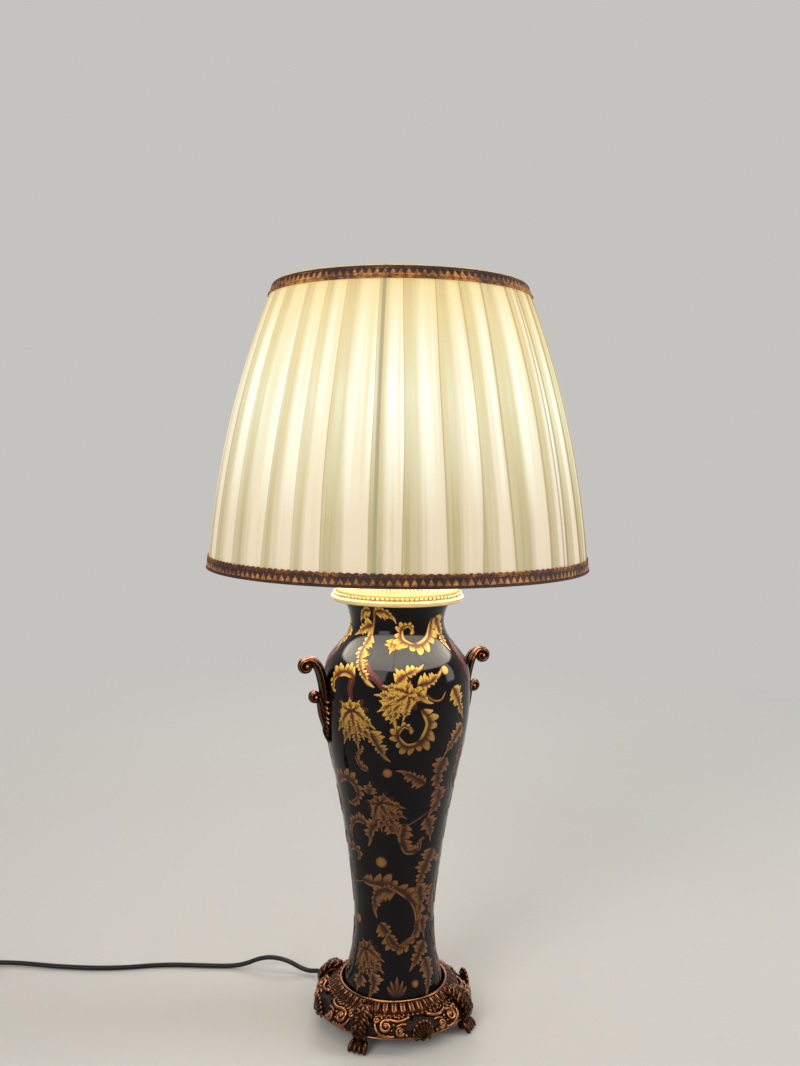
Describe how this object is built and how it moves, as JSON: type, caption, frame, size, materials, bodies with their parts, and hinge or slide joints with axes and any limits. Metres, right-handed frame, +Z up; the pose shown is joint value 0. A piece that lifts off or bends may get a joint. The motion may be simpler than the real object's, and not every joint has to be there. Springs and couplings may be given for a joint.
{
  "type": "table lamp",
  "caption": "Table lamp: tall glazed baluster vase with scroll handles and gilt cap, cast base on paw feet, bowed pleated shade on a harp with finial, screw-in bulb, mains cord and plug.",
  "frame": {"origin": "on the floor plane, on the vase's axis", "axes": "+Z up along the vase, -Y to the front pendant, +X to the right handle"},
  "size_m": [0.7451, 0.4602, 0.7607],
  "materials": {
    "antique_bronze": "cast, antique patina",
    "gilt_brass": "cast and gilt",
    "polished_brass": "polished",
    "steel": "zinc plated",
    "black_glaze": "gloss glaze with gilt scrollwork",
    "cloth": "pleated ivory cloth",
    "braid": "woven gimp braid",
    "frame_wire": "white lacquered wire",
    "opal_glass": "inside frosted",
    "insulator": "moulded phenolic",
    "black_plastic": "moulded",
    "black_cord": "satin cable jacket",
    "gasket_rubber": "matt"
  },
  "bodies": {
    "lamp": {"base_ring": "antique_bronze", "base_skirt": "antique_bronze", "foot_screws": "steel", "base_washer": "steel", "base_nut": "steel", "lamp_pipe": "polished_brass", "lower_gasket": "gasket_rubber", "upper_gasket": "gasket_rubber", "vase_body": "black_glaze", "vase_cap": "gilt_brass", "handle_left": "antique_bronze", "handle_right": "antique_bronze", "handle_screws": "steel", "neck_spacer": "polished_brass", "harp_saddle": "polished_brass", "lock_nut": "steel", "harp": "polished_brass", "harp_stud": "polished_brass", "socket_cap": "polished_brass", "socket_shell": "polished_brass", "socket_insulator": "insulator", "socket_screw_liner": "polished_brass", "socket_contact": "polished_brass", "cord_gland": "black_plastic", "inner_lead": "black_cord", "cord_lead": "black_cord", "cord_coil": "black_cord", "cord_tail": "black_cord", "cord_tie": "black_plastic", "plug_body": "black_plastic", "plug_blades": "polished_brass", "paw_foot_front_left": "antique_bronze", "paw_foot_front_right": "antique_bronze", "paw_foot_back_left": "antique_bronze", "paw_foot_back_right": "antique_bronze", "shell_pendant_front": "antique_bronze", "shell_pendant_back": "antique_bronze", "shell_pendant_left": "antique_bronze", "shell_pendant_right": "antique_bronze"},
    "shade": {"shade_spider": "frame_wire", "shade_top_ring": "frame_wire", "shade_bottom_ring": "frame_wire", "shade_cloth": "cloth", "shade_trim_top": "braid", "shade_trim_bottom": "braid", "shade_rib_1": "frame_wire", "shade_rib_2": "frame_wire", "shade_rib_3": "frame_wire", "shade_rib_4": "frame_wire", "shade_rib_5": "frame_wire", "shade_rib_6": "frame_wire"},
    "finial_bush": {"finial_bush": "polished_brass"},
    "finial": {"finial_knob": "polished_brass"},
    "bulb_contact": {"bulb_contact": "steel"},
    "bulb": {"bulb_cap": "steel", "bulb_glass": "opal_glass"},
    "switch": {"switch_knob": "black_plastic"},
    "ferrule_left": {"harp_ferrule_left": "polished_brass"},
    "ferrule_right": {"harp_ferrule_right": "polished_brass"}
  },
  "joints": [
    {"name": "shade_turn", "type": "hinge", "parent": "lamp", "child": "shade", "pos_m": [0, 0, 0.737], "axis": [0, 0, 1], "continuous": true},
    {"name": "finial_lift", "type": "slide", "parent": "lamp", "child": "finial_bush", "axis": [0, 0, 1], "range_m": [0, 0.0114]},
    {"name": "finial_turn", "type": "hinge", "parent": "finial_bush", "child": "finial", "pos_m": [0, 0, 0.745], "axis": [0, 0, 1], "range_deg": [0, 4320]},
    {"name": "bulb_lift", "type": "slide", "parent": "lamp", "child": "bulb_contact", "axis": [0, 0, 1], "range_m": [0, 0.011]},
    {"name": "bulb_turn", "type": "hinge", "parent": "bulb_contact", "child": "bulb", "pos_m": [0, 0, 0.56], "axis": [0, 0, 1], "range_deg": [0, 1080]},
    {"name": "switch_turn", "type": "hinge", "parent": "lamp", "child": "switch", "pos_m": [0, -0.02, 0.532], "axis": [0, -1, 0], "continuous": true},
    {"name": "ferrule_left_lift", "type": "slide", "parent": "lamp", "child": "ferrule_left", "axis": [0, 0, 1], "range_m": [0, 0.012]},
    {"name": "ferrule_right_lift", "type": "slide", "parent": "lamp", "child": "ferrule_right", "axis": [0, 0, 1], "range_m": [0, 0.012]}
  ],
  "couplings": [
    {"joint": "finial_lift", "follows": "finial_turn", "m_per_rad": 0.00014972},
    {"joint": "bulb_lift", "follows": "bulb_turn", "m_per_rad": 0.0005775}
  ]
}
